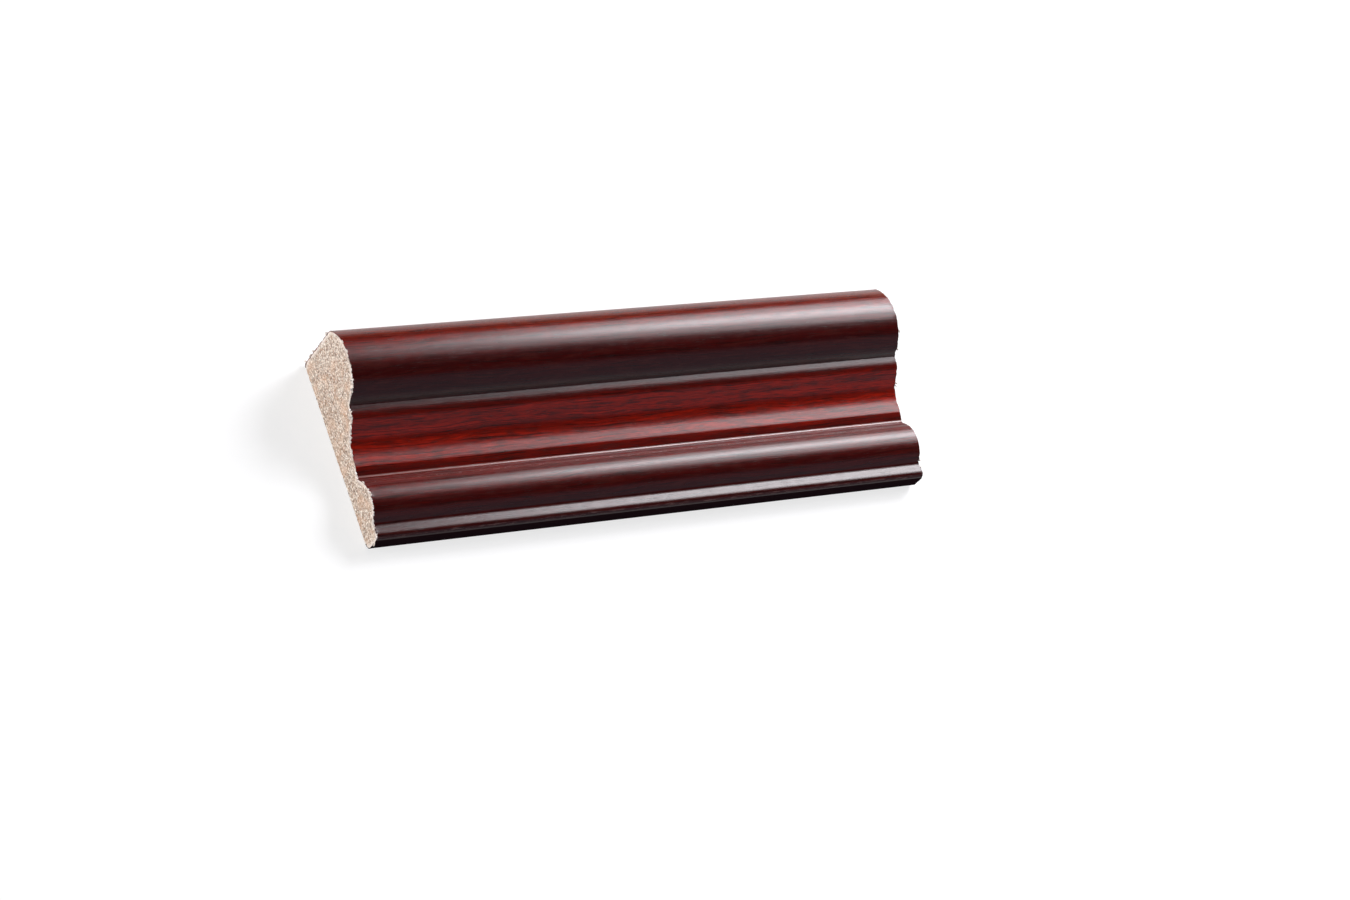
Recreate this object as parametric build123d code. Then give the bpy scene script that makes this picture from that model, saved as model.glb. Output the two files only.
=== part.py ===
"""A short sawn length of cornice moulding: a foamed core wrapped in a printed wood-grain foil.

The moulding lies on its flat back. X runs along the length, Z is the height above the back, and
Y runs across the width, from the thin nose at -Y to the thick edge at +Y. The origin is the middle
of the back. In section the moulded face is one walk from the thick edge down to the nose: a large
crown, a bead, a cove with a short floor, a valley, a small ovolo and the nose.
"""

import os
from math import radians, sin

from build123d import *

# Overall sizes, in millimetres
LENGTH = 254.0
THICKNESS = 32.2
FOIL_THICKNESS = 0.3

# Crown: the large ovolo beside the thick edge, swept both ways from its crest. Angles are in degrees
CROWN_EDGE_RADIUS = 16.8
CROWN_EDGE_ANGLE = 54.0
CROWN_BEAD_RADIUS = 17.6
CROWN_BEAD_ANGLE = 67.5

# Bead: a shallow strip that leaves the crown, and a convex roll that turns it downhill to its own angle
BEAD_STRIP_ANGLE = 9.0
BEAD_STRIP_WIDTH = 2.16
BEAD_RADIUS = 7.5
BEAD_ANGLE = 57.0

# Cove: turns the fall of the bead back to a nearly level floor
COVE_RADIUS = 13.3
FLOOR_ANGLE = 6.5
FLOOR_LENGTH = 3.8

# Valley: the floor's step falls into it and the flank of the ovolo climbs out
STEP_ANGLE = 23.0
STEP_LENGTH = 4.2
FLANK_ANGLE = 43.0
FLANK_LENGTH = 4.1

# Ovolo: the small convex member, rising from the flank to its crest and falling to the lower quirk
OVOLO_RISE_RADIUS = 9.5
OVOLO_FALL_RADIUS = 12.0
OVOLO_ANGLE = 55.5

# Nose: a strip below the lower quirk that climbs a little, rounded into the thin front edge
NOSE_STRIP_WIDTH = 3.6
NOSE_STRIP_ANGLE = 3.0
NOSE_RADIUS = 2.5

# Radii of the softened corners
SHOULDER_RADIUS = 4.0
HEEL_RADIUS = 1.6
TOE_RADIUS = 3.0
ARRIS_RADIUS = 2.0
VALLEY_RADIUS = 1.5
UPPER_QUIRK_RADIUS = 0.5
LOWER_QUIRK_RADIUS = 2.0

# Direction of a level run of the walk, in the sketch of the section, and the turn from level to upright
TOWARDS_NOSE = (-1, 0)
RIGHT_ANGLE = 90.0


def falling(angle):
    """The walk's direction where it falls below the level by an angle. A negative angle climbs."""
    return Vector(TOWARDS_NOSE).rotate(Axis.Z, angle)


def moulded_section():
    """The whole section on the XY plane, the thick edge on X = 0 and the back on Y = 0."""
    crest = (-CROWN_EDGE_RADIUS * sin(radians(CROWN_EDGE_ANGLE)), THICKNESS)
    crown_to_edge = JernArc(crest, (1, 0), CROWN_EDGE_RADIUS, -CROWN_EDGE_ANGLE)
    crown_to_bead = JernArc(crest, TOWARDS_NOSE, CROWN_BEAD_RADIUS, CROWN_BEAD_ANGLE)
    bead_strip = PolarLine(crown_to_bead @ 1, BEAD_STRIP_WIDTH, direction=falling(BEAD_STRIP_ANGLE))
    bead = JernArc(bead_strip @ 1, bead_strip % 1, BEAD_RADIUS, BEAD_ANGLE - BEAD_STRIP_ANGLE)
    cove = JernArc(bead @ 1, bead % 1, COVE_RADIUS, FLOOR_ANGLE - BEAD_ANGLE)
    floor = PolarLine(cove @ 1, FLOOR_LENGTH, direction=falling(FLOOR_ANGLE))
    step = PolarLine(floor @ 1, STEP_LENGTH, direction=falling(STEP_ANGLE))
    flank = PolarLine(step @ 1, FLANK_LENGTH, direction=falling(-FLANK_ANGLE))
    ovolo_rise = JernArc(flank @ 1, flank % 1, OVOLO_RISE_RADIUS, FLANK_ANGLE)
    ovolo_fall = JernArc(ovolo_rise @ 1, ovolo_rise % 1, OVOLO_FALL_RADIUS, OVOLO_ANGLE)
    nose_strip = PolarLine(ovolo_fall @ 1, NOSE_STRIP_WIDTH, direction=falling(-NOSE_STRIP_ANGLE))
    nose = JernArc(nose_strip @ 1, nose_strip % 1, NOSE_RADIUS, RIGHT_ANGLE + NOSE_STRIP_ANGLE)
    toe, heel = ((nose @ 1).X, 0), (0, 0)
    front_edge = Line(nose @ 1, toe)
    back = Line(toe, heel)
    thick_edge = Line(heel, crown_to_edge @ 1)
    crown = [crown_to_edge, crown_to_bead]
    bead_to_valley = [bead_strip, bead, cove, floor, step]
    valley_to_nose = [flank, ovolo_rise, ovolo_fall, nose_strip, nose]
    section = make_face(crown + bead_to_valley + valley_to_nose + [front_edge, back, thick_edge])

    corner_radii = [
        (crown_to_edge @ 1, SHOULDER_RADIUS),
        (crown_to_bead @ 1, UPPER_QUIRK_RADIUS),
        (floor @ 1, ARRIS_RADIUS),
        (step @ 1, VALLEY_RADIUS),
        (ovolo_fall @ 1, LOWER_QUIRK_RADIUS),
        (toe, min(TOE_RADIUS, front_edge.length / 2)),
        (heel, HEEL_RADIUS),
    ]
    for corner, radius in corner_radii:
        section = fillet(section.vertices().sort_by_distance(corner)[0], radius)
    return section


def core_section(section):
    """The section inside the foil: inset on the moulded face, and full out to the flat of the back."""
    back = section.edges().sort_by(Axis.Y)[0]
    back_strip = Pos(back @ 0.5) * Rectangle(back.length, FOIL_THICKNESS, align=(Align.CENTER, Align.MIN))
    return offset(section, -FOIL_THICKNESS) + back_strip


def sawn_length(section, width):
    """A section run out to the sawn length, with the back's middle at the origin."""
    centred = Plane.YZ * Pos(width / 2, 0) * section
    return extrude(centred, LENGTH / 2, both=True)


outer = moulded_section()
inner = core_section(outer)
overall_width = outer.bounding_box().size.X
pieces = {
    "moulding_core": sawn_length(inner, overall_width),
    "wood_grain_foil": sawn_length(outer - inner, overall_width),
}

os.makedirs("parts", exist_ok=True)
for name, piece in pieces.items():
    piece.label = name
    export_step(piece, f"parts/{name}.step")
    size = piece.bounding_box().size
    print(f"{name}: {size.X:.1f} x {size.Y:.2f} x {size.Z:.2f} mm, {piece.volume / 1000:.2f} cm3")
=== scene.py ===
"""Dresses the cornice moulding: a sawn foam core wrapped in a printed wood-grain foil.

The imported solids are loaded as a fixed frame, and detailed pieces stand in for them. The foil is swept
from the moulding's section by Geometry Nodes, and torn a little at both saw cuts. The core has a fine mesh
on its sawn ends that carries the grains and pits of the cut. Pale burrs and dark shreds of foil line the
cut edges.
"""

from math import ceil, cos, pi, radians

import bpy
import numpy as np
from mathutils import Matrix, Vector, geometry


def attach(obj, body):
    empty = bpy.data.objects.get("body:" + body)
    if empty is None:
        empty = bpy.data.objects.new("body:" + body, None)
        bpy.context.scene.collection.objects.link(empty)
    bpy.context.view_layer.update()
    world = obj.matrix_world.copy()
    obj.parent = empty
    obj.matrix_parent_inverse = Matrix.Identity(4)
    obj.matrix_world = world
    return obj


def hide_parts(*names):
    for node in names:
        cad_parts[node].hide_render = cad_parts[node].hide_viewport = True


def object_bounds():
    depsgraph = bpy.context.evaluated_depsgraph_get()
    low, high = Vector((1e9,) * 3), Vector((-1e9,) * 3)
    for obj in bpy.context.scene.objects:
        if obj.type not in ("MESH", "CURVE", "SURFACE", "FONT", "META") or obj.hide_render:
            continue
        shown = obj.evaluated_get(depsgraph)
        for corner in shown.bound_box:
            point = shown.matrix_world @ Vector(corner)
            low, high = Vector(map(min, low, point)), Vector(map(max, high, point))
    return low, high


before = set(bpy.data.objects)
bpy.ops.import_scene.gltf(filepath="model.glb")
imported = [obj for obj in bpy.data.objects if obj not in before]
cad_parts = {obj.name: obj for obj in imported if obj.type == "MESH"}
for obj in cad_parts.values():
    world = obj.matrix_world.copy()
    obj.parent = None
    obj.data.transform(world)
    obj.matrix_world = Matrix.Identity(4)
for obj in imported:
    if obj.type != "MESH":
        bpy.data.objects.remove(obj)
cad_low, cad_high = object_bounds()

MM = 0.001

# Section of the moulding: the same members and corners as the solids
THICKNESS = 32.2 * MM
FOIL_THICKNESS = 0.3 * MM
CROWN_EDGE_RADIUS = 16.8 * MM
CROWN_EDGE_ANGLE = radians(54.0)
CROWN_BEAD_RADIUS = 17.6 * MM
CROWN_BEAD_ANGLE = radians(67.5)
BEAD_STRIP_ANGLE = radians(9.0)
BEAD_STRIP_WIDTH = 2.16 * MM
BEAD_RADIUS = 7.5 * MM
BEAD_ANGLE = radians(57.0)
COVE_RADIUS = 13.3 * MM
FLOOR_ANGLE = radians(6.5)
FLOOR_LENGTH = 3.8 * MM
STEP_ANGLE = radians(23.0)
STEP_LENGTH = 4.2 * MM
FLANK_ANGLE = radians(43.0)
FLANK_LENGTH = 4.1 * MM
OVOLO_RISE_RADIUS = 9.5 * MM
OVOLO_FALL_RADIUS = 12.0 * MM
OVOLO_ANGLE = radians(55.5)
NOSE_STRIP_WIDTH = 3.6 * MM
NOSE_STRIP_ANGLE = radians(3.0)
NOSE_RADIUS = 2.5 * MM
SHOULDER_RADIUS = 4.0 * MM
HEEL_RADIUS = 1.6 * MM
TOE_RADIUS = 3.0 * MM
ARRIS_RADIUS = 2.0 * MM
VALLEY_RADIUS = 1.5 * MM
UPPER_QUIRK_RADIUS = 0.5 * MM
LOWER_QUIRK_RADIUS = 2.0 * MM

# Redness of the print, 0 to 1, at places round the section in millimetres from the heel
PRINT_TONES = (
    (0.0, 0.35),
    (33.0, 0.35),
    (37.0, 0.32),
    (43.0, 0.16),
    (48.0, 0.05),
    (63.0, 0.03),
    (66.0, 0.12),
    (71.0, 0.85),
    (73.0, 0.86),
    (76.0, 0.45),
    (79.0, 0.47),
    (84.0, 0.57),
    (86.5, 0.38),
    (89.0, 0.20),
    (96.0, 0.22),
    (103.0, 0.16),
    (106.0, 0.07),
    (117.0, 0.04),
    (135.0, 0.00),
)

# Other places on the face, in the same millimetres: the crown's tan top, which fades from the first to the
# second, the valley's bottom, which has a painted highlight, the flank beside it and a painted gleam on it
TAN_FULL = 33.0
TAN_GONE = 38.0
VALLEY_CREASE = 90.35
FLANK_MIDDLE = 94.8
FLANK_GLEAM = 95.2

# Sway of the grain, in millimetres: its length, its width, and how far it shifts the grain and the tones
SWAY_LENGTH = 55.0
SWAY_WIDTH = 14.0
GRAIN_SWAY = 6.0
TONE_SWAY = 2.0

# Lacquer: its roughness from place to place, its index, and its gloss on the face and on the dull front
# edge, which begins after a turn round the nose
SMOOTHEST_LACQUER = 0.205
ROUGHEST_LACQUER = 0.245
LACQUER_INDEX = 1.32
FACE_GLOSS = 0.5
FRONT_GLOSS = 0.0
FRONT_TURN = radians(72.0)

# Headings of the walk round the section, in the plane of Y and Z
TOWARDS_EDGE = 0.0
UPWARDS = 0.5 * pi
TOWARDS_NOSE = pi
DOWNWARDS = 1.5 * pi

# Fineness of the section: the traced line, and the points picked from it for the foil and for the core
FINE_STEP = 0.02 * MM
CORNER_REACH = 500
SIDE_REACH = 4
FOIL_STEP = 0.6 * MM
FOIL_TURN = radians(5.0)
CORE_STEP = 0.35 * MM
CORE_TURN = radians(15.0)
BACK_STEP = 1.0 * MM
BACK_TOLERANCE = 1e-9

# Turns past which an edge of the mesh is drawn sharp
SHARP_FOIL_TURN = radians(50.0)
SHARP_CORE_TURN = radians(60.0)

# Sawn ends of the core
FILL_SPACING = 0.26 * MM
FILL_MARGIN = 0.6 * FILL_SPACING
FILL_TOLERANCE = 1e-6
RING_DEPTHS = (0.0, 0.3 * MM, 0.9 * MM, 2.5 * MM)

# Bits along the cut edges: where they begin above the back, how thickly they lie on each end, the runs
# round the section where they are thickest, and the fineness of their crumpling
LOWEST_BIT = 1.2 * MM
ROUGH_END_COVER = 1.0
CLEAN_END_COVER = 0.05
THIN_COVER = 0.25
THICK_RUNS = ((50.0 * MM, 61.0 * MM), (67.0 * MM, 91.0 * MM), (101.0 * MM, 120.0 * MM))
CRUMPLE_SIZE = 0.4 * MM

# Camera: its place, the point on the floor it looks at, and its tilt about the view
CAMERA_PLACE = Vector((-723.5, -497.6, 1013.5)) * MM
CAMERA_TARGET = Vector((21.0, -11.8, 0.0)) * MM
CAMERA_ROLL = radians(43.06)
CAMERA_LENS = 90.8
CAMERA_SENSOR = 36.0

# Floor: half its side, its drop below the back, its grey, and its glow where the camera sees it
FLOOR_REACH = 6.0
FLOOR_DROP = 0.05 * MM
FLOOR_GREY = 0.3
FLOOR_GLOW = 0.75

# Tints of the lamps and of the dim room
COOL_TINT = (0.98, 0.98, 1.02)
BLUE_TINT = (0.95, 0.95, 1.15)
WARM_TINT = (1.0, 0.98, 0.96)
ROOM_TINT = (0.03, 0.03, 0.035, 1.0)


def srgb(red, green, blue):
    """A colour written as on a screen, 0 to 255, turned into the linear colour that a shader takes."""
    share = np.array([red, green, blue]) / 255.0
    linear = np.where(share <= 0.04045, share / 12.92, ((share + 0.055) / 1.055) ** 2.4)
    return (*linear.tolist(), 1.0)


class Nodes:
    """Builds a node tree: each call places a node, fills or links its inputs and hands back an output."""

    def __init__(self, tree):
        self.tree = tree

    def add(self, kind, inputs=None, **settings):
        """Places a node. Inputs are named or numbered, and hold a value or another node's output."""
        node = self.tree.nodes.new(kind)
        for name, value in settings.items():
            setattr(node, name, value)
        for key, value in (inputs or {}).items():
            self.fill(node.inputs[key], value)
        return node

    def fill(self, socket, value):
        """Links an output to an input, or sets the input's own value."""
        if isinstance(value, bpy.types.NodeSocket):
            self.tree.links.new(value, socket)
        else:
            socket.default_value = value

    def given(self):
        """The tree's own inputs."""
        return self.tree.nodes.new("NodeGroupInput").outputs

    def put_out(self, **results):
        """Links the tree's own outputs, with a space for each underscore in a name."""
        end = self.tree.nodes.new("NodeGroupOutput")
        for name, value in results.items():
            self.fill(end.inputs[name.replace("_", " ")], value)

    def math(self, operation, *values):
        return self.add("ShaderNodeMath", dict(enumerate(values)), operation=operation).outputs[0]

    def vector(self, operation, *values):
        return self.add("ShaderNodeVectorMath", dict(enumerate(values)), operation=operation).outputs[0]

    def scaled(self, vector, factor):
        inputs = {"Vector": vector, "Scale": factor}
        return self.add("ShaderNodeVectorMath", inputs, operation="SCALE").outputs[0]

    def combine(self, x, y, z):
        return self.add("ShaderNodeCombineXYZ", {"X": x, "Y": y, "Z": z}).outputs[0]

    def separate(self, vector):
        return self.add("ShaderNodeSeparateXYZ", {"Vector": vector}).outputs

    def ramp(self, value, low, high, to_low=0.0, to_high=1.0):
        """A smooth rise from to_low, where the value is low, to to_high, where it is high."""
        inputs = {"Value": value, "From Min": low, "From Max": high, "To Min": to_low, "To Max": to_high}
        return self.add("ShaderNodeMapRange", inputs, interpolation_type="SMOOTHSTEP").outputs[0]

    def noise(self, vector, scale=1.0, detail=2.0, roughness=0.5):
        inputs = {"Vector": vector, "Scale": scale, "Detail": detail, "Roughness": roughness}
        return self.add("ShaderNodeTexNoise", inputs).outputs

    def cells(self, vector, scale=1.0, feature="F1"):
        return self.add("ShaderNodeTexVoronoi", {"Vector": vector, "Scale": scale}, feature=feature).outputs

    def blend(self, share, first, second):
        """One colour laid over another by a share."""
        inputs = {0: share, 6: first, 7: second}
        return self.add("ShaderNodeMix", inputs, data_type="RGBA").outputs[2]

    def share_of(self, mask, part):
        """A mask cut down to a part of its strength."""
        return self.math("MULTIPLY", mask, part)

    def distance(self, value, place):
        """How far a value is from a place, on either side."""
        return self.math("ABSOLUTE", self.math("SUBTRACT", value, place))


SOCKETS = {
    "geometry": "NodeSocketGeometry",
    "float": "NodeSocketFloat",
    "int": "NodeSocketInt",
    "vector": "NodeSocketVector",
    "material": "NodeSocketMaterial",
}


def new_tree(name, kind, inputs, outputs):
    """An empty node tree with named inputs and outputs."""
    tree = bpy.data.node_groups.new(name, kind)
    for in_out, sockets in (("INPUT", inputs), ("OUTPUT", outputs)):
        for label, form in sockets.items():
            tree.interface.new_socket(name=label, in_out=in_out, socket_type=SOCKETS[form])
    return tree


def grown(name, seed_mesh, tree, values):
    """A piece that a Geometry Nodes tree makes from a seed mesh, as a plain mesh with no modifier."""
    piece = bpy.data.objects.new(name, seed_mesh)
    bpy.context.scene.collection.objects.link(piece)
    modifier = piece.modifiers.new(tree.name, "NODES")
    modifier.node_group = tree
    sockets = [item for item in tree.interface.items_tree if item.item_type == "SOCKET"]
    identifiers = {item.name: item.identifier for item in sockets if item.in_out == "INPUT"}
    for label, value in values.items():
        modifier[identifiers[label]] = value
    depsgraph = bpy.context.evaluated_depsgraph_get()
    evaluated = piece.evaluated_get(depsgraph)
    result = bpy.data.meshes.new_from_object(evaluated, preserve_all_data_layers=True, depsgraph=depsgraph)
    piece.modifiers.remove(modifier)
    piece.data = result
    bpy.data.meshes.remove(seed_mesh)
    result.name = name
    return piece


def place_camera():
    """The camera, at the photograph's angle on the moulding."""
    data = bpy.data.cameras.new("camera")
    data.lens = CAMERA_LENS
    data.sensor_width = CAMERA_SENSOR
    camera = bpy.data.objects.new("camera", data)
    look = (CAMERA_TARGET - CAMERA_PLACE).to_track_quat("-Z", "Y").to_matrix().to_4x4()
    camera.matrix_world = Matrix.Translation(CAMERA_PLACE) @ look @ Matrix.Rotation(CAMERA_ROLL, 4, "Z")
    bpy.context.scene.collection.objects.link(camera)
    bpy.context.scene.camera = camera


# Section


def unit(heading):
    return np.array([np.cos(heading), np.sin(heading)])


def left_of(points):
    """The unit side to the left of a line of points, at each point, read over a few points either way."""
    places = np.arange(len(points))
    along = points[np.minimum(places + SIDE_REACH, places[-1])] - points[np.maximum(places - SIDE_REACH, 0)]
    along /= np.linalg.norm(along, axis=1, keepdims=True)
    return np.stack([-along[:, 1], along[:, 0]], axis=1)


def rounded(before, after, radius):
    """Joins two lines of points through an arc that touches both."""
    near = before[-CORNER_REACH:]
    far = after[:CORNER_REACH]
    leaving, arriving = near[-1] - near[-2], far[1] - far[0]
    side = np.sign(leaving[0] * arriving[1] - leaving[1] * arriving[0])
    near_centres = near + side * radius * left_of(near)
    far_centres = far + side * radius * left_of(far)
    gaps = np.linalg.norm(near_centres[:, None] - far_centres[None], axis=2)
    last, first = np.unravel_index(gaps.argmin(), gaps.shape)
    centre = (near_centres[last] + far_centres[first]) / 2
    spokes = [near[last] - centre, far[first] - centre]
    start, end = [np.arctan2(spoke[1], spoke[0]) for spoke in spokes]
    sweep = side * ((side * (end - start)) % (2 * pi))
    angles = start + np.linspace(0.0, sweep, ceil(radius * abs(sweep) / FINE_STEP) + 1)
    corner = centre + radius * np.stack([np.cos(angles), np.sin(angles)], axis=1)
    kept = len(before) - len(near) + last
    return np.vstack([before[:kept], corner, after[first + 1 :]])


class Walk:
    """Traces the section as fine points, run after run, rounding corners where a radius is given."""

    def __init__(self, start):
        self.points = np.array([start])

    def add(self, run, corner):
        if corner:
            self.points = rounded(self.points, run, corner)
        else:
            self.points = np.vstack([self.points, run[1:]])

    def straight(self, heading, length, corner=0.0):
        along = np.linspace(0.0, length, ceil(length / FINE_STEP) + 1)
        self.add(self.points[-1] + along[:, None] * unit(heading), corner)

    def bend(self, heading, radius, turn, corner=0.0):
        """An arc that leaves at a heading. A positive turn is to the left: downhill on the face."""
        side = np.sign(turn)
        centre = self.points[-1] + side * radius * unit(heading + pi / 2)
        turns = np.linspace(0.0, turn, ceil(radius * abs(turn) / FINE_STEP) + 1)
        angles = heading - side * pi / 2 + turns
        self.add(centre + radius * np.stack([np.cos(angles), np.sin(angles)], axis=1), corner)


def section_outline():
    """The section as fine (y, z) points, once round from the middle of the back, and its nose's start."""
    half_width = cad_high.y
    edge_height = THICKNESS - CROWN_EDGE_RADIUS * (1 - cos(CROWN_EDGE_ANGLE))
    walk = Walk((0.0, 0.0))
    walk.straight(TOWARDS_EDGE, half_width)
    walk.straight(UPWARDS, edge_height, corner=HEEL_RADIUS)
    walk.bend(TOWARDS_NOSE - CROWN_EDGE_ANGLE, CROWN_EDGE_RADIUS, CROWN_EDGE_ANGLE, corner=SHOULDER_RADIUS)
    walk.bend(TOWARDS_NOSE, CROWN_BEAD_RADIUS, CROWN_BEAD_ANGLE)
    walk.straight(TOWARDS_NOSE + BEAD_STRIP_ANGLE, BEAD_STRIP_WIDTH, corner=UPPER_QUIRK_RADIUS)
    walk.bend(TOWARDS_NOSE + BEAD_STRIP_ANGLE, BEAD_RADIUS, BEAD_ANGLE - BEAD_STRIP_ANGLE)
    walk.bend(TOWARDS_NOSE + BEAD_ANGLE, COVE_RADIUS, FLOOR_ANGLE - BEAD_ANGLE)
    walk.straight(TOWARDS_NOSE + FLOOR_ANGLE, FLOOR_LENGTH)
    walk.straight(TOWARDS_NOSE + STEP_ANGLE, STEP_LENGTH, corner=ARRIS_RADIUS)
    walk.straight(TOWARDS_NOSE - FLANK_ANGLE, FLANK_LENGTH, corner=VALLEY_RADIUS)
    walk.bend(TOWARDS_NOSE - FLANK_ANGLE, OVOLO_RISE_RADIUS, FLANK_ANGLE)
    walk.bend(TOWARDS_NOSE, OVOLO_FALL_RADIUS, OVOLO_ANGLE)
    walk.straight(TOWARDS_NOSE - NOSE_STRIP_ANGLE, NOSE_STRIP_WIDTH, corner=LOWER_QUIRK_RADIUS)
    nose_start = walk.points[-1]
    walk.bend(TOWARDS_NOSE - NOSE_STRIP_ANGLE, NOSE_RADIUS, pi / 2 + NOSE_STRIP_ANGLE)
    walk.straight(DOWNWARDS, walk.points[-1][1])
    walk.straight(TOWARDS_EDGE, half_width, corner=TOE_RADIUS)
    return walk.points, nose_start


def picked(points, longest, sharpest):
    """Which fine points to keep, so that none are further apart than a length or a turn."""
    step = np.diff(points, axis=0)
    heading = np.unwrap(np.arctan2(step[:, 1], step[:, 0]))
    turn = np.abs(np.diff(heading, prepend=heading[0]))
    effort = np.maximum(np.linalg.norm(step, axis=1) / longest, turn / sharpest)
    reached = np.concatenate([[0.0], np.cumsum(effort)])
    wanted = np.linspace(0.0, reached[-1], ceil(reached[-1]) + 1)
    return np.round(np.interp(wanted, reached, np.arange(len(points)))).astype(int)


def arc_lengths(points):
    return np.concatenate([[0.0], np.cumsum(np.linalg.norm(np.diff(points, axis=0), axis=1))])


# Foil


def foil_sweep_tree():
    """Sweeps the face's section along the length, tears and lifts both ends, and thickens the sheet."""
    inputs = {
        "Geometry": "geometry",
        "Length": "float",
        "Thickness": "float",
        "Stations": "int",
        "Tear Depth": "float",
        "Tear Size": "float",
        "Tear Reach": "float",
        "Lift": "float",
        "Seed": "float",
        "Material": "material",
        "Front Start": "float",
        "Front Material": "material",
    }
    tree = new_tree("foil_sweep", "GeometryNodeTree", inputs, {"Geometry": "geometry"})
    n = Nodes(tree)
    given = n.given()
    position = n.add("GeometryNodeInputPosition").outputs[0]

    profile = n.add("GeometryNodeMeshToCurve", {"Mesh": given["Geometry"]}).outputs[0]
    spot = n.add("GeometryNodeSplineParameter").outputs["Length"]
    held = n.add("GeometryNodeCaptureAttribute")
    held.capture_items.new("FLOAT", "Arc")
    n.fill(held.inputs["Geometry"], profile)
    n.fill(held.inputs["Arc"], spot)
    arc = held.outputs["Arc"]

    # The stations bunch towards both ends, where the foil is torn
    half = n.math("MULTIPLY", given["Length"], 0.5)
    line = n.add("GeometryNodeCurvePrimitiveLine", {"Start": (-1, 0, 0), "End": (1, 0, 0)}).outputs[0]
    line = n.add("GeometryNodeResampleCurve", {"Curve": line, "Count": given["Stations"]}).outputs[0]
    share = n.separate(position)["X"]
    bunched = n.math("MULTIPLY", share, n.math("SUBTRACT", 2.0, n.math("ABSOLUTE", share)))
    place = n.combine(n.math("MULTIPLY", bunched, half), 0.0, 0.0)
    path = n.add("GeometryNodeSetPosition", {"Geometry": line, "Position": place}).outputs[0]
    swept = {"Curve": path, "Profile Curve": held.outputs["Geometry"]}
    sheet = n.add("GeometryNodeCurveToMesh", swept).outputs[0]

    # The map of the print: metres along the length, and metres round the section
    x = n.separate(position)["X"]
    stored = {"Geometry": sheet, "Name": "GrainMap", "Value": n.combine(x, arc, 0.0)}
    kind = {"data_type": "FLOAT2", "domain": "CORNER"}
    mapped = n.add("GeometryNodeStoreNamedAttribute", stored, **kind).outputs[0]

    side = n.math("SIGN", x)
    from_end = n.math("SUBTRACT", half, n.math("ABSOLUTE", x))
    fade = n.ramp(from_end, given["Tear Reach"], 0.0)
    spread = n.math("DIVIDE", arc, given["Tear Size"])
    tear_place = n.combine(spread, n.math("MULTIPLY", side, 7.0), given["Seed"])
    ragged = n.noise(tear_place, detail=4.0, roughness=0.65)
    torn = n.ramp(ragged[0], 0.45, 0.75)
    tear = n.math("MULTIPLY", n.math("MULTIPLY", torn, given["Tear Depth"]), fade)
    wrinkle = n.noise(n.combine(spread, n.math("MULTIPLY", side, 3.0), 21.0), detail=3.0)
    raised = n.math("MULTIPLY", n.ramp(wrinkle[0], 0.5, 0.8), n.math("POWER", fade, 3.0))
    normal = n.add("GeometryNodeInputNormal").outputs[0]
    lift = n.scaled(normal, n.math("MULTIPLY", raised, given["Lift"]))
    back_off = n.combine(n.math("MULTIPLY", side, n.math("MULTIPLY", tear, -1.0)), 0.0, 0.0)
    moved = {"Geometry": mapped, "Offset": n.vector("ADD", back_off, lift)}
    ragged_sheet = n.add("GeometryNodeSetPosition", moved).outputs[0]

    inward = n.math("MULTIPLY", given["Thickness"], -1.0)
    extruded = {"Mesh": ragged_sheet, "Offset Scale": inward, "Individual": False}
    inner = n.add("GeometryNodeExtrudeMesh", extruded, mode="FACES").outputs["Mesh"]
    flipped = n.add("GeometryNodeFlipFaces", {"Mesh": inner}).outputs[0]
    joined = n.add("GeometryNodeJoinGeometry", {"Geometry": flipped})
    tree.links.new(ragged_sheet, joined.inputs["Geometry"])
    weld = {"Geometry": joined.outputs[0], "Distance": n.math("DIVIDE", given["Thickness"], 100.0)}
    solid = n.add("GeometryNodeMergeByDistance", weld).outputs[0]
    smooth = n.add("GeometryNodeSetShadeSmooth", {"Geometry": solid}).outputs[0]
    real = n.add("GeometryNodeRealizeInstances", {"Geometry": smooth}).outputs[0]
    printed = n.add("GeometryNodeSetMaterial", {"Geometry": real, "Material": given["Material"]}).outputs[0]
    on_front = n.math("GREATER_THAN", arc, given["Front Start"])
    finish = {"Geometry": printed, "Selection": on_front, "Material": given["Front Material"]}
    n.put_out(Geometry=n.add("GeometryNodeSetMaterial", finish).outputs[0])
    return tree


def make_foil(face, material, front_material, front_start):
    """The printed foil over the thick edge, the moulded face and the nose."""
    points = face[picked(face, FOIL_STEP, FOIL_TURN)]
    # A sweep along +X turns the section's first axis to -Y and its second to -Z
    vertices = [(-y, -z, 0.0) for y, z in points]
    edges = [(i, i + 1) for i in range(len(points) - 1)]
    seed = bpy.data.meshes.new("foil_section")
    seed.from_pydata(vertices, edges, [])
    values = {
        "Length": cad_high.x - cad_low.x,
        "Thickness": FOIL_THICKNESS,
        "Stations": 72,
        "Tear Depth": 0.7 * MM,
        "Tear Size": 2.2 * MM,
        "Tear Reach": 2.6 * MM,
        "Lift": 0.3 * MM,
        "Seed": 4.0,
        "Material": material,
        "Front Start": front_start,
        "Front Material": front_material,
    }
    foil = grown("foil", seed, foil_sweep_tree(), values)
    foil.data.set_sharp_from_angle(angle=SHARP_FOIL_TURN)
    return foil


# Core


def inside(points, outline):
    """Which points lie inside a closed outline, by counting the edges to their right."""
    a, b = outline, np.roll(outline, -1, axis=0)
    within = np.zeros(len(points), dtype=bool)
    for start, end in zip(a, b):
        spans = (start[1] > points[:, 1]) != (end[1] > points[:, 1])
        rise = end[1] - start[1] if end[1] != start[1] else 1.0
        crossing = start[0] + (points[:, 1] - start[1]) / rise * (end[0] - start[0])
        within ^= spans & (points[:, 0] < crossing)
    return within


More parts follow.
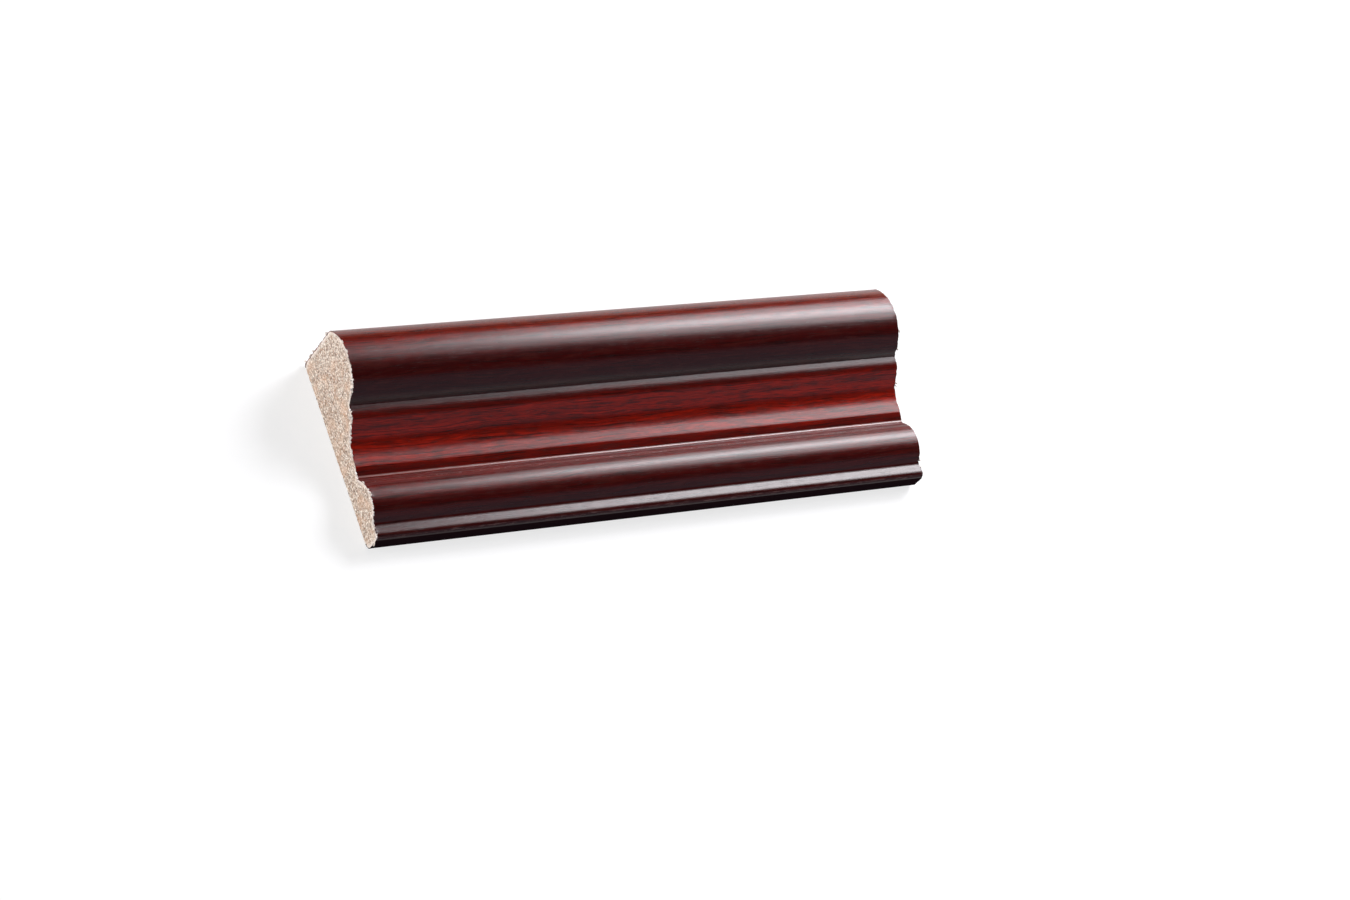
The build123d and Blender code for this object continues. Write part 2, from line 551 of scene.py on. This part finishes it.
def distance_to(points, targets):
    """How far each point is from the nearest of the targets."""
    return np.array([np.sqrt(((targets - point) ** 2).sum(axis=1).min()) for point in points])


def end_fill(outline):
    """Triangles that fill an outline, with a fine spread of points inside it."""
    low, high = outline.min(axis=0), outline.max(axis=0)
    rows = np.arange(low[1], high[1], FILL_SPACING * np.sqrt(3) / 2)
    columns = np.arange(low[0], high[0], FILL_SPACING)
    shift = np.where(np.arange(len(rows)) % 2, FILL_SPACING / 2, 0.0)
    across, up = np.meshgrid(columns, rows)
    spread = np.stack([across + shift[:, None], up], axis=-1).reshape(-1, 2)
    spread = spread[inside(spread, outline)]
    spread = spread[distance_to(spread, outline) > FILL_MARGIN]
    points = np.vstack([outline, spread])
    edges = [(i, (i + 1) % len(outline)) for i in range(len(outline))]
    in_mm = [Vector(point) for point in points / MM]
    filled = geometry.delaunay_2d_cdt(in_mm, edges, [], 1, FILL_TOLERANCE)
    order = {sources[0]: new for new, sources in enumerate(filled[3]) if sources}
    back_to_old = {new: old for old, new in order.items()}
    triangles = np.array([[back_to_old[corner] for corner in face] for face in filled[2]])
    return points, triangles


def core_mesh(face):
    """The core as one closed mesh: fine fills on both sawn ends, and plain runs between rings near them."""
    inner = face + FOIL_THICKNESS * left_of(face)
    rim = inner[picked(inner, CORE_STEP, CORE_TURN)]
    back_y = np.arange(face[-1][0], face[0][0], BACK_STEP)
    back = np.stack([np.append(back_y, face[0][0]), np.zeros(len(back_y) + 1)], axis=1)
    outline = np.vstack([rim, back])
    points, triangles = end_fill(outline)
    rim_distance = distance_to(points, rim)

    around = len(outline)
    left_rings = [cad_low.x + depth for depth in RING_DEPTHS]
    right_rings = [cad_high.x - depth for depth in RING_DEPTHS[::-1]]
    stations = left_rings + right_rings
    vertices, faces, sawn, rims, rings = [], [], [], [], []
    for number, x in enumerate(stations):
        is_end = number in (0, len(stations) - 1)
        kept = points if is_end else outline
        rings.append(len(vertices))
        vertices += [(x, y, z) for y, z in kept]
        sawn += [np.sign(x) if is_end else 0.0] * len(kept)
        rims += list(rim_distance) if is_end else [0.0] * around
    faces += [tuple(triangle[::-1] + rings[0]) for triangle in triangles]
    faces += [tuple(triangle + rings[-1]) for triangle in triangles]
    for low, high in zip(rings, rings[1:]):
        for i in range(around):
            j = (i + 1) % around
            faces.append((low + i, low + j, high + j, high + i))
    mesh = bpy.data.meshes.new("core_blank")
    mesh.from_pydata(vertices, [], [[int(corner) for corner in face] for face in faces])
    mesh.attributes.new("sawn", "FLOAT", "POINT").data.foreach_set("value", np.array(sawn, np.float32))
    mesh.attributes.new("rim", "FLOAT", "POINT").data.foreach_set("value", np.array(rims, np.float32))
    return mesh


def saw_cut_tree():
    """Roughens the sawn ends of the core: grains that stand up, pits among them and a chipped rim."""
    inputs = {
        "Geometry": "geometry",
        "Grain Size": "float",
        "Grain Height": "float",
        "Pit Size": "float",
        "Pit Depth": "float",
        "Rim Width": "float",
        "Chip Size": "float",
        "Chip Depth": "float",
        "Material": "material",
    }
    tree = new_tree("saw_cut", "GeometryNodeTree", inputs, {"Geometry": "geometry"})
    n = Nodes(tree)
    given = n.given()
    position = n.add("GeometryNodeInputPosition").outputs[0]
    sawn = n.add("GeometryNodeInputNamedAttribute", {"Name": "sawn"}, data_type="FLOAT").outputs[0]
    rim = n.add("GeometryNodeInputNamedAttribute", {"Name": "rim"}, data_type="FLOAT").outputs[0]

    grains = n.cells(position, n.math("DIVIDE", 1.0, given["Grain Size"]))["Distance"]
    hollow = n.math("MULTIPLY", n.ramp(grains, 0.1, 0.75), given["Grain Height"])
    pits = n.noise(position, n.math("DIVIDE", 1.0, given["Pit Size"]), detail=3.0, roughness=0.6)
    pit = n.math("MULTIPLY", n.ramp(pits[0], 0.55, 0.75), given["Pit Depth"])
    near_rim = n.ramp(rim, given["Rim Width"], 0.0)
    skin = n.ramp(rim, 0.0, n.math("MULTIPLY", given["Rim Width"], 3.0), 0.45, 1.0)
    chips = n.noise(position, n.math("DIVIDE", 1.0, given["Chip Size"]), detail=2.0)
    chip = n.math("MULTIPLY", n.math("MULTIPLY", n.ramp(chips[0], 0.5, 0.7), near_rim), given["Chip Depth"])
    rough = n.math("MULTIPLY", n.math("ADD", hollow, pit), skin)
    depth = n.math("ADD", rough, chip)
    offset = n.combine(n.math("MULTIPLY", n.math("MULTIPLY", sawn, depth), -1.0), 0.0, 0.0)
    moved = n.add("GeometryNodeSetPosition", {"Geometry": given["Geometry"], "Offset": offset}).outputs[0]
    smooth = n.add("GeometryNodeSetShadeSmooth", {"Geometry": moved}).outputs[0]
    real = n.add("GeometryNodeRealizeInstances", {"Geometry": smooth}).outputs[0]
    finish = {"Geometry": real, "Material": given["Material"]}
    n.put_out(Geometry=n.add("GeometryNodeSetMaterial", finish).outputs[0])
    return tree


def make_core(face, material):
    """The sawn foam core."""
    values = {
        "Grain Size": 1.0 * MM,
        "Grain Height": 0.14 * MM,
        "Pit Size": 1.3 * MM,
        "Pit Depth": 0.3 * MM,
        "Rim Width": 0.7 * MM,
        "Chip Size": 1.6 * MM,
        "Chip Depth": 0.5 * MM,
        "Material": material,
    }
    core = grown("core", core_mesh(face), saw_cut_tree(), values)
    core.data.set_sharp_from_angle(angle=SHARP_CORE_TURN)
    return core


# Burrs and shreds along the cut edges


def cut_edges_mesh(face):
    """The outline of the moulded face at both sawn ends, as lines of points."""
    kept = picked(face, FOIL_STEP, FOIL_TURN)
    kept = kept[face[kept, 1] > LOWEST_BIT]
    points, arcs = face[kept], arc_lengths(face)[kept]
    thick = np.any([(arcs > start) & (arcs < end) for start, end in THICK_RUNS], axis=0)
    along = np.where(thick, 1.0, THIN_COVER)
    vertices, edges, sawn, cover = [], [], [], []
    for x, share in ((cad_low.x, ROUGH_END_COVER), (cad_high.x, CLEAN_END_COVER)):
        first = len(vertices)
        vertices += [(x, y, z) for y, z in points]
        edges += [(first + i, first + i + 1) for i in range(len(points) - 1)]
        sawn += [np.sign(x)] * len(points)
        cover += list(share * along)
    mesh = bpy.data.meshes.new("cut_edges")
    mesh.from_pydata(vertices, edges, [])
    mesh.attributes.new("sawn", "FLOAT", "POINT").data.foreach_set("value", np.array(sawn, np.float32))
    mesh.attributes.new("cover", "FLOAT", "POINT").data.foreach_set("value", np.array(cover, np.float32))
    return mesh


def edge_bits_tree():
    """Scatters small crumpled bits along the cut edges, in clusters, each leaning out from the face."""
    inputs = {
        "Geometry": "geometry",
        "Spacing": "float",
        "Cluster Size": "float",
        "Cover": "float",
        "Smallest": "vector",
        "Largest": "vector",
        "Stand Out": "float",
        "Crumple": "float",
        "Seed": "int",
        "Material": "material",
    }
    tree = new_tree("edge_bits", "GeometryNodeTree", inputs, {"Geometry": "geometry"})
    n = Nodes(tree)
    given = n.given()
    position = n.add("GeometryNodeInputPosition").outputs[0]
    sawn = n.add("GeometryNodeInputNamedAttribute", {"Name": "sawn"}, data_type="FLOAT").outputs[0]

    line = n.add("GeometryNodeMeshToCurve", {"Mesh": given["Geometry"]}).outputs[0]
    spaced = {"Curve": line, "Length": given["Spacing"]}
    line = n.add("GeometryNodeResampleCurve", spaced, mode="LENGTH").outputs[0]
    along = n.add("GeometryNodeInputTangent").outputs[0]
    outward = n.vector("CROSS_PRODUCT", along, (1.0, 0.0, 0.0))
    jitter = {"Min": (-0.5, -0.5, -0.5), "Max": (0.5, 0.5, 0.5), "Seed": given["Seed"]}
    stray = n.add("FunctionNodeRandomValue", jitter, data_type="FLOAT_VECTOR").outputs[0]
    cutward = n.combine(n.math("MULTIPLY", sawn, 0.5), 0.0, 0.0)
    lean = n.vector("ADD", n.vector("ADD", n.scaled(outward, given["Stand Out"]), cutward), stray)
    axes = {"Primary Axis": lean, "Secondary Axis": along}
    turned = n.add("FunctionNodeAxesToRotation", axes, primary_axis="X", secondary_axis="Y").outputs[0]

    clusters = n.noise(position, n.math("DIVIDE", 1.0, given["Cluster Size"]), detail=1.0)
    chance = {2: 0.0, 3: 1.0, "Seed": n.math("ADD", given["Seed"], 5.0)}
    lot = n.add("FunctionNodeRandomValue", chance, data_type="FLOAT").outputs[1]
    thick = n.add("GeometryNodeInputNamedAttribute", {"Name": "cover"}, data_type="FLOAT").outputs[0]
    wanted = n.math("MULTIPLY", n.ramp(clusters[0], 0.35, 0.6), n.math("MULTIPLY", thick, given["Cover"]))
    chosen = n.math("LESS_THAN", lot, wanted)
    sizes = {"Min": given["Smallest"], "Max": given["Largest"], "Seed": n.math("ADD", given["Seed"], 9.0)}
    size = n.add("FunctionNodeRandomValue", sizes, data_type="FLOAT_VECTOR").outputs[0]

    ball = n.add("GeometryNodeMeshIcoSphere", {"Radius": 0.5, "Subdivisions": 2}).outputs[0]
    ball = n.add("GeometryNodeTransform", {"Geometry": ball, "Translation": (0.25, 0.0, 0.0)}).outputs[0]
    scatter = {"Points": line, "Selection": chosen, "Instance": ball, "Rotation": turned, "Scale": size}
    bits = n.add("GeometryNodeInstanceOnPoints", scatter).outputs[0]
    real = n.add("GeometryNodeRealizeInstances", {"Geometry": bits}).outputs[0]
    crush = n.noise(position, 1.0 / CRUMPLE_SIZE, detail=2.0)["Color"]
    shift = n.scaled(n.vector("SUBTRACT", crush, (0.5, 0.5, 0.5)), given["Crumple"])
    crumpled = n.add("GeometryNodeSetPosition", {"Geometry": real, "Offset": shift}).outputs[0]
    smooth = n.add("GeometryNodeSetShadeSmooth", {"Geometry": crumpled}).outputs[0]
    finish = {"Geometry": smooth, "Material": given["Material"]}
    n.put_out(Geometry=n.add("GeometryNodeSetMaterial", finish).outputs[0])
    return tree


def make_burrs(face, tree, material):
    """Pale burrs of the core that stand over the foil's torn edge."""
    values = {
        "Spacing": 0.3 * MM,
        "Cluster Size": 4.0 * MM,
        "Cover": 1.0,
        "Smallest": Vector((0.7, 0.5, 0.2)) * MM,
        "Largest": Vector((1.7, 1.3, 0.5)) * MM,
        "Stand Out": 0.55,
        "Crumple": 0.35 * MM,
        "Seed": 11,
        "Material": material,
    }
    return grown("sawn_burrs", cut_edges_mesh(face), tree, values)


def make_shreds(face, tree, material):
    """Dark shreds of foil left hanging on the cut edges."""
    values = {
        "Spacing": 0.5 * MM,
        "Cluster Size": 9.0 * MM,
        "Cover": 0.35,
        "Smallest": Vector((0.5, 0.15, 0.06)) * MM,
        "Largest": Vector((1.2, 0.4, 0.12)) * MM,
        "Stand Out": 0.5,
        "Crumple": 0.25 * MM,
        "Seed": 37,
        "Material": material,
    }
    return grown("foil_shreds", cut_edges_mesh(face), tree, values)


# Materials


def streaks_group():
    """Noise drawn out along the first axis, as a mask of streaks with a length and a width."""
    inputs = {
        "Vector": "vector",
        "Length": "float",
        "Width": "float",
        "Seed": "float",
        "Low": "float",
        "High": "float",
    }
    tree = new_tree("drawn_streaks", "ShaderNodeTree", inputs, {"Mask": "float"})
    n = Nodes(tree)
    given = n.given()
    x, y, _ = n.separate(given["Vector"])
    along = n.math("DIVIDE", x, given["Length"])
    across = n.math("DIVIDE", y, given["Width"])
    drawn = n.noise(n.combine(along, across, given["Seed"]), detail=3.0, roughness=0.55)[0]
    n.put_out(Mask=n.ramp(drawn, given["Low"], given["High"]))
    return tree


def grains_group():
    """Packed grains: a tint that differs from grain to grain, the gaps between them, and their height."""
    inputs = {"Vector": "vector", "Size": "float"}
    outputs = {"Tint": "float", "Gap": "float", "Height": "float"}
    tree = new_tree("packed_grains", "ShaderNodeTree", inputs, outputs)
    n = Nodes(tree)
    given = n.given()
    place = n.scaled(given["Vector"], n.math("DIVIDE", 1.0, given["Size"]))
    warp = n.scaled(n.vector("SUBTRACT", n.noise(place, 1.5, 2.0)["Color"], (0.5, 0.5, 0.5)), 0.7)
    place = n.vector("ADD", place, warp)
    grain = n.cells(place)
    border = n.cells(place, feature="DISTANCE_TO_EDGE")["Distance"]
    tint = n.separate(grain["Color"])["X"]
    gap = n.ramp(border, 0.2, 0.04)
    height = n.math("SUBTRACT", 1.0, grain["Distance"])
    n.put_out(Tint=tint, Gap=gap, Height=height)
    return tree


# Colours of the print, and after them a painted highlight and painted shade
DEEP_BROWN = srgb(41, 4, 5)
MAHOGANY_RED = srgb(160, 27, 5)
TAN_BROWN = srgb(98, 32, 10)
BLOTCH_BROWN = srgb(66, 22, 17)
STREAK_BROWN = srgb(32, 6, 4)
PORE_BROWN = srgb(20, 5, 4)
RUBBED_TAN = srgb(124, 92, 86)
# Painted highlight, not print: along the valley's bottom and, faintly, on the flank above it
PAINTED_HIGHLIGHT_PINK = srgb(190, 148, 142)
# Painted shade, not print: darkens the nose's front
FRONT_SHADE_BLACK = srgb(41, 30, 34)

# Colours of the sawn foam, of its moulded back and of its burrs
GRAIN_BEIGE = srgb(214, 193, 175)
GRAIN_CREAM = srgb(252, 243, 233)
GRAIN_BROWN = srgb(196, 150, 118)
SPECK_BROWN = srgb(108, 84, 70)
GAP_BROWN = srgb(132, 106, 90)
PATCH_TAN = srgb(222, 180, 150)
RIM_CREAM = srgb(240, 230, 222)
BACK_BEIGE = srgb(214, 196, 178)
BACK_BROWN = srgb(178, 152, 130)
BURR_BEIGE = srgb(224, 208, 196)
BURR_WHITE = srgb(252, 247, 242)

# Colours of the foil's torn edge
SHRED_BROWN = srgb(52, 16, 13)
SHRED_TAN = srgb(118, 66, 48)


def new_material(name):
    """An empty material with a Principled shader, and the builder of its nodes."""
    material = bpy.data.materials.new(name)
    material.use_nodes = True
    tree = material.node_tree
    tree.nodes.clear()
    n = Nodes(tree)
    shader = n.add("ShaderNodeBsdfPrincipled")
    n.add("ShaderNodeOutputMaterial", {"Surface": shader.outputs[0]})
    return material, n, shader


def use_group(n, group, inputs):
    node = n.add("ShaderNodeGroup", node_tree=group)
    for key, value in inputs.items():
        n.fill(node.inputs[key], value)
    return node.outputs


def foil_material(name, streaks, nose_arc, gloss):
    """Printed mahogany: red-brown with dark streaks along the length, fine pores and a satin lacquer."""
    material, n, shader = new_material(name)
    in_metres = n.add("ShaderNodeUVMap", uv_map="GrainMap").outputs[0]
    flat = n.scaled(in_metres, 1.0 / MM)
    x, y, _ = n.separate(flat)
    swayed = n.combine(n.math("DIVIDE", x, SWAY_LENGTH), n.math("DIVIDE", y, SWAY_WIDTH), 0.0)
    sway = n.math("SUBTRACT", n.noise(swayed, detail=2.0)[0], 0.5)
    grain = n.combine(x, n.math("ADD", y, n.math("MULTIPLY", sway, GRAIN_SWAY)), 0.0)
    toned_y = n.math("ADD", y, n.math("MULTIPLY", sway, TONE_SWAY))

    def drawn(length, width, seed, low, high, place=grain):
        inputs = {"Vector": place, "Length": length, "Width": width, "Seed": seed, "Low": low, "High": high}
        return use_group(n, streaks, inputs)["Mask"]

    spread = n.add("ShaderNodeValToRGB", {"Fac": n.math("DIVIDE", toned_y, PRINT_TONES[-1][0])})
    tones = spread.color_ramp
    tones.interpolation = "EASE"
    for place, redness in PRINT_TONES[:-1]:
        stop = tones.elements.new(place / PRINT_TONES[-1][0])
        stop.color = (redness, redness, redness, 1.0)
    tones.elements[0].color = (PRINT_TONES[0][1],) * 3 + (1.0,)
    tones.elements[-1].color = (PRINT_TONES[-1][1],) * 3 + (1.0,)
    redness = n.separate(spread.outputs[0])["X"]

    # The print: broad bands and bright flares in the red, then blotches, streaks and pores laid over it
    bands = drawn(length=90.0, width=3.0, seed=1.0, low=0.3, high=0.7)
    flares = drawn(length=14.0, width=0.8, seed=7.0, low=0.5, high=0.7)
    fibres = drawn(length=6.0, width=0.22, seed=5.0, low=0.3, high=0.7)
    blotches = drawn(length=11.0, width=1.6, seed=2.0, low=0.48, high=0.64)
    lines = drawn(length=26.0, width=0.55, seed=3.0, low=0.52, high=0.64)
    dashes = drawn(length=8.0, width=0.32, seed=4.0, low=0.56, high=0.68)
    redness = n.math("MULTIPLY", redness, n.ramp(bands, 0.0, 1.0, 0.75, 1.3))
    redness = n.math("MULTIPLY", redness, n.ramp(flares, 0.0, 1.0, 1.0, 1.3))
    redness = n.math("MULTIPLY", redness, n.ramp(fibres, 0.0, 1.0, 1.4, 0.65))
    colour = n.blend(redness, DEEP_BROWN, MAHOGANY_RED)
    tan = n.math("MULTIPLY", n.ramp(y, TAN_GONE, TAN_FULL), n.ramp(bands, 0.0, 1.0, 0.3, 0.9))
    colour = n.blend(tan, colour, TAN_BROWN)
    colour = n.blend(n.share_of(blotches, 0.55), colour, BLOTCH_BROWN)
    colour = n.blend(n.share_of(lines, 0.72), colour, STREAK_BROWN)
    colour = n.blend(n.share_of(dashes, 0.62), colour, PORE_BROWN)

    # Valley: a painted highlight along its bottom, and a faint painted reflection on the flank above it
    off_valley = n.distance(y, VALLEY_CREASE)
    off_gleam = n.distance(y, FLANK_GLEAM)
    colour = n.blend(n.ramp(off_valley, 0.6, 0.1, 0.0, 0.35), colour, PAINTED_HIGHLIGHT_PINK)
    colour = n.blend(n.ramp(off_gleam, 1.3, 0.1, 0.0, 0.04), colour, PAINTED_HIGHLIGHT_PINK)

    # Nose: pale rubbed dashes where the strip turns over, and painted shade that darkens the front
    nose_y = nose_arc / MM
    colour = n.blend(n.ramp(y, nose_y + 1.5, nose_y + 4.5, 0.0, 0.85), colour, FRONT_SHADE_BLACK)
    worn = drawn(length=6.0, width=0.4, seed=6.0, low=0.52, high=0.66)
    rubbed = n.math("MULTIPLY", n.ramp(n.distance(y, nose_y + 2.1), 1.0, 0.2), worn)
    colour = n.blend(n.share_of(rubbed, 0.55), colour, RUBBED_TAN)
    n.fill(shader.inputs["Base Color"], colour)

    # Lacquer: a sharp valley, a rough flank with a gleam on it, and duller rubbed places and pores
    mottle = n.noise(flat, 0.25, 3.0)[0]
    roughness = n.ramp(mottle, 0.3, 0.7, SMOOTHEST_LACQUER, ROUGHEST_LACQUER)
    valley_share = n.ramp(off_valley, 0.4, 1.2, 0.6, 1.0)
    flank_share = n.ramp(n.distance(y, FLANK_MIDDLE), 3.4, 1.8, 1.0, 2.3)
    gleam_share = n.ramp(off_gleam, 0.3, 1.3, 0.5, 1.0)
    for share in (valley_share, flank_share, gleam_share):
        roughness = n.math("MULTIPLY", roughness, share)
    for mask, extra in ((rubbed, 0.15), (dashes, 0.06)):
        roughness = n.math("ADD", roughness, n.share_of(mask, extra))
    n.fill(shader.inputs["Roughness"], roughness)

    # Relief: a faint peel, sunken fibres and pores, and fine lines drawn along the length
    peel = n.noise(flat, 0.9, 2.0)[0]
    drag = drawn(length=500.0, width=0.5, seed=9.0, low=0.35, high=0.65, place=flat)
    height = n.share_of(peel, 0.5)
    for mask, rise in ((fibres, -0.35), (dashes, -0.5), (drag, 0.4)):
        height = n.math("ADD", height, n.share_of(mask, rise))
    bump = {"Height": height, "Strength": 0.45, "Distance": 0.025 * MM}
    n.fill(shader.inputs["Normal"], n.add("ShaderNodeBump", bump).outputs[0])
    shader.inputs["IOR"].default_value = LACQUER_INDEX
    shader.inputs["Specular IOR Level"].default_value = gloss
    return material


def foam_material(grains, streaks):
    """Sawn beige foam: packed grains, brown gaps and dark specks, with drawn lines on the moulded back."""
    material, n, shader = new_material("sawn_foam")
    place = n.add("ShaderNodeTexCoord").outputs["Object"]
    flat = n.scaled(place, 1.0 / MM)
    sawn_along = n.vector("MULTIPLY", flat, (1.0, 0.75, 1.0))
    coarse = use_group(n, grains, {"Vector": sawn_along, "Size": 0.85})
    fine = use_group(n, grains, {"Vector": sawn_along, "Size": 0.5})
    patch = n.noise(flat, 0.16, 3.0)[0]

    colour = n.blend(coarse["Tint"], GRAIN_BEIGE, GRAIN_CREAM)
    colour = n.blend(n.ramp(fine["Tint"], 0.8, 0.95, 0.0, 0.7), colour, GRAIN_BROWN)
    colour = n.blend(n.ramp(fine["Tint"], 0.16, 0.05, 0.0, 0.85), colour, SPECK_BROWN)
    colour = n.blend(n.share_of(coarse["Gap"], 0.65), colour, GAP_BROWN)
    colour = n.blend(n.ramp(patch, 0.45, 0.7, 0.0, 0.35), colour, PATCH_TAN)
    rim = n.math("DIVIDE", n.add("ShaderNodeAttribute", attribute_name="rim").outputs["Fac"], MM)
    dense = n.math("MULTIPLY", n.ramp(rim, 1.8, 0.3), n.ramp(n.noise(flat, 0.3, 2.0)[0], 0.35, 0.5))
    colour = n.blend(n.share_of(dense, 0.8), colour, RIM_CREAM)
    drawing = {"Vector": flat, "Length": 60.0, "Width": 0.6, "Seed": 3.0, "Low": 0.4, "High": 0.7}
    lines = use_group(n, streaks, drawing)["Mask"]
    skin = n.blend(n.share_of(lines, 0.3), BACK_BEIGE, BACK_BROWN)
    cut = n.add("ShaderNodeAttribute", attribute_name="sawn").outputs["Fac"]
    share = n.math("MINIMUM", n.math("ABSOLUTE", cut), 1.0)
    n.fill(shader.inputs["Base Color"], n.blend(share, skin, colour))
    n.fill(shader.inputs["Roughness"], n.ramp(coarse["Tint"], 0.0, 1.0, 0.75, 0.92))
    height = n.math("ADD", coarse["Height"], n.share_of(fine["Height"], 0.5))
    height = n.math("MULTIPLY", height, share)
    bump = {"Height": height, "Strength": 0.5, "Distance": 0.12 * MM}
    n.fill(shader.inputs["Normal"], n.add("ShaderNodeBump", bump).outputs[0])
    return material


def burr_material(grains):
    """Pale torn foam."""
    material, n, shader = new_material("torn_foam")
    flat = n.scaled(n.add("ShaderNodeTexCoord").outputs["Object"], 1.0 / MM)
    grain = use_group(n, grains, {"Vector": flat, "Size": 0.6})
    n.fill(shader.inputs["Base Color"], n.blend(grain["Tint"], BURR_BEIGE, BURR_WHITE))
    n.fill(shader.inputs["Roughness"], n.ramp(grain["Tint"], 0.0, 1.0, 0.7, 0.9))
    return material


def shred_material(streaks):
    """The foil's torn edge: dark red-brown with a paler backing."""
    material, n, shader = new_material("torn_foil")
    flat = n.scaled(n.add("ShaderNodeTexCoord").outputs["Object"], 1.0 / MM)
    inputs = {"Vector": flat, "Length": 1.0, "Width": 0.5, "Seed": 8.0, "Low": 0.4, "High": 0.65}
    worn = use_group(n, streaks, inputs)["Mask"]
    n.fill(shader.inputs["Base Color"], n.blend(worn, SHRED_BROWN, SHRED_TAN))
    n.fill(shader.inputs["Roughness"], n.ramp(worn, 0.0, 1.0, 0.4, 0.7))
    return material


# Stage


def make_floor():
    """A plain pale floor that reads as white and keeps the shadow."""
    sides = [(-1, -1), (1, -1), (1, 1), (-1, 1)]
    corners = [(x * FLOOR_REACH, y * FLOOR_REACH, -FLOOR_DROP) for x, y in sides]
    mesh = bpy.data.meshes.new("floor")
    mesh.from_pydata(corners, [], [(0, 1, 2, 3)])
    floor = bpy.data.objects.new("floor", mesh)
    bpy.context.scene.collection.objects.link(floor)
    material = bpy.data.materials.new("pale_floor")
    material.use_nodes = True
    n = Nodes(material.node_tree)
    material.node_tree.nodes.clear()
    rays = n.add("ShaderNodeLightPath").outputs
    seen = n.math("MAXIMUM", rays["Is Camera Ray"], rays["Is Glossy Ray"])
    seen = n.math("MAXIMUM", seen, rays["Is Transmission Ray"])
    grey = (FLOOR_GREY, FLOOR_GREY, FLOOR_GREY, 1.0)
    paint = n.add("ShaderNodeBsdfDiffuse", {"Color": grey}).outputs[0]
    glow = n.add("ShaderNodeEmission", {"Strength": n.share_of(seen, FLOOR_GLOW)}).outputs[0]
    both = n.add("ShaderNodeAddShader", {0: paint, 1: glow}).outputs[0]
    n.add("ShaderNodeOutputMaterial", {"Surface": both})
    mesh.materials.append(material)


def add_softbox(name, place, target, width, height, radiance, tint):
    """An area lamp that faces a point, its width along the moulding. Radiance is its brightness."""
    data = bpy.data.lights.new(name, "AREA")
    data.shape = "RECTANGLE"
    data.size = width
    data.size_y = height
    data.energy = radiance * pi * width * height
    data.color = tint
    lamp = bpy.data.objects.new(name, data)
    away = (Vector(place) - Vector(target)).normalized()
    guide = Vector((0.0, 1.0, 0.0)) if abs(away.x) > 0.9 else Vector((1.0, 0.0, 0.0))
    side = (guide - guide.dot(away) * away).normalized()
    turn = Matrix((side, away.cross(side), away)).transposed().to_4x4()
    lamp.matrix_world = Matrix.Translation(place) @ turn
    bpy.context.scene.collection.objects.link(lamp)


def light_stage():
    """The lamps and the dim room.

    A large softbox stands behind the right end, with a brighter strip across it and a small patch on the
    side of the nose. A low card stands in front, and a fill lights the left sawn end.
    """
    lamps = {
        "key_softbox": {
            "place": (0.993, 0.604, 0.876),
            "target": (0.0, 0.02, 0.02),
            "width": 0.72,
            "height": 1.17,
            "radiance": 8.8,
            "tint": COOL_TINT,
        },
        "key_hot_strip": {
            "place": (0.983, 0.579, 0.881),
            "target": (0.0, 0.02, 0.02),
            "width": 0.72,
            "height": 0.41,
            "radiance": 17.0,
            "tint": COOL_TINT,
        },
        "key_low_patch": {
            "place": (1.065, 0.128, 1.10),
            "target": (0.0, -0.4, 0.27),
            "width": 0.40,
            "height": 0.20,
            "radiance": 6.0,
            "tint": COOL_TINT,
        },
        "front_card": {
            "place": (0.85, -1.0, 0.53),
            "target": (0.85, 0.0, 0.53),
            "width": 2.1,
            "height": 1.06,
            "radiance": 0.52,
            "tint": BLUE_TINT,
        },
        "end_fill": {
            "place": (-1.1, 0.1, 0.14),
            "target": (-0.127, 0.0, 0.012),
            "width": 0.6,
            "height": 0.24,
            "radiance": 21.5,
            "tint": WARM_TINT,
        },
    }
    for name, settings in lamps.items():
        add_softbox(name, **settings)
    world = bpy.data.worlds.new("dim_room")
    world.use_nodes = True
    world.node_tree.nodes["Background"].inputs["Color"].default_value = ROOM_TINT
    bpy.context.scene.world = world
    bpy.context.scene.view_settings.view_transform = "Standard"


place_camera()
light_stage()
make_floor()

outline, nose_start = section_outline()
off_back = np.flatnonzero(outline[:, 1] > BACK_TOLERANCE)
face_line = outline[off_back[0] - 1 : off_back[-1] + 2]
nose_index = int(np.linalg.norm(face_line - nose_start, axis=1).argmin())
nose_arc = float(arc_lengths(face_line)[nose_index])

streaks = streaks_group()
grains = grains_group()
glossy = foil_material("mahogany_foil", streaks, nose_arc, FACE_GLOSS)
dull = foil_material("mahogany_foil_front", streaks, nose_arc, FRONT_GLOSS)
foil = make_foil(face_line, glossy, dull, nose_arc + FRONT_TURN * NOSE_RADIUS)
core = make_core(face_line, foam_material(grains, streaks))
bits = edge_bits_tree()
burrs = make_burrs(face_line, bits, burr_material(grains))
shreds = make_shreds(face_line, bits, shred_material(streaks))

for piece, slot in ((foil, "foil"), (core, "core"), (burrs, "core"), (shreds, "foil")):
    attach(piece, "root")
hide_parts("wood_grain_foil")
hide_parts("moulding_core")
